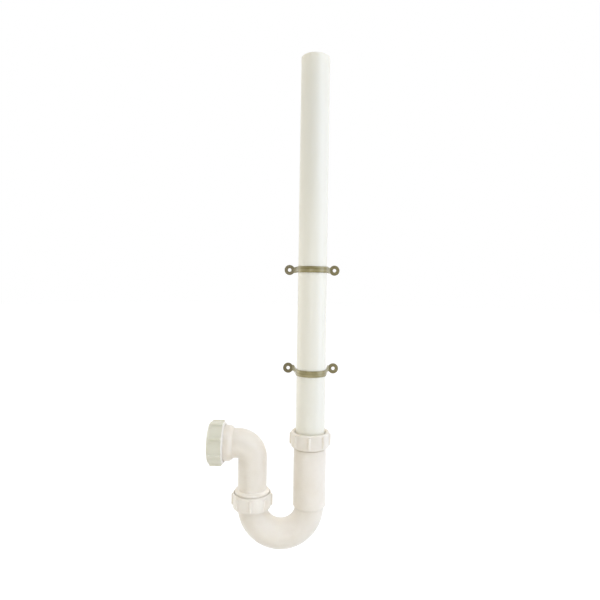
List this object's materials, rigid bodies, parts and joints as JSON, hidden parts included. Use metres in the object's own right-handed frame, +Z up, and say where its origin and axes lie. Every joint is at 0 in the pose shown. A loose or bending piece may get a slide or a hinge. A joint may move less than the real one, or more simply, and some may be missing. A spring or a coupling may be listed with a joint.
{
  "type": "washing machine standpipe trap",
  "caption": "Washing machine standpipe trap: a U bend with a deep inlet leg, a clipped standpipe, ribbed compression nuts and a swivel outlet elbow.",
  "frame": {"origin": "on the wall plane, midway between the four screw holes of the two pipe clips", "axes": "+Z up along the standpipe, +Y into the wall, +X along the wall; the outlet points along -X at rest"},
  "size_m": [0.1929, 0.0665, 0.7311],
  "materials": {
    "pipe_plastic": "satin",
    "trap_plastic": "satin",
    "nut_plastic": "satin",
    "outlet_nut_plastic": "satin",
    "clip_steel": "satin",
    "seal_rubber": "matte",
    "washer_plastic": "matte"
  },
  "bodies": {
    "trap": {"standpipe": "pipe_plastic", "upper_pipe_clip": "clip_steel", "lower_pipe_clip": "clip_steel", "trap_body": "trap_plastic", "standpipe_nut": "nut_plastic", "standpipe_seal": "seal_rubber", "standpipe_slip_washer": "washer_plastic"},
    "outlet": {"swivel_elbow": "trap_plastic", "swivel_nut": "nut_plastic", "swivel_seal": "seal_rubber", "swivel_slip_washer": "washer_plastic", "outlet_nut": "outlet_nut_plastic", "outlet_seal": "seal_rubber", "outlet_slip_washer": "washer_plastic"}
  },
  "joints": [
    {"name": "elbow_swivel", "type": "hinge", "parent": "trap", "child": "outlet", "pos_m": [-0.0852, -0.035, -0.2708], "axis": [0, 0, 1], "range_deg": [-120, 120]}
  ]
}
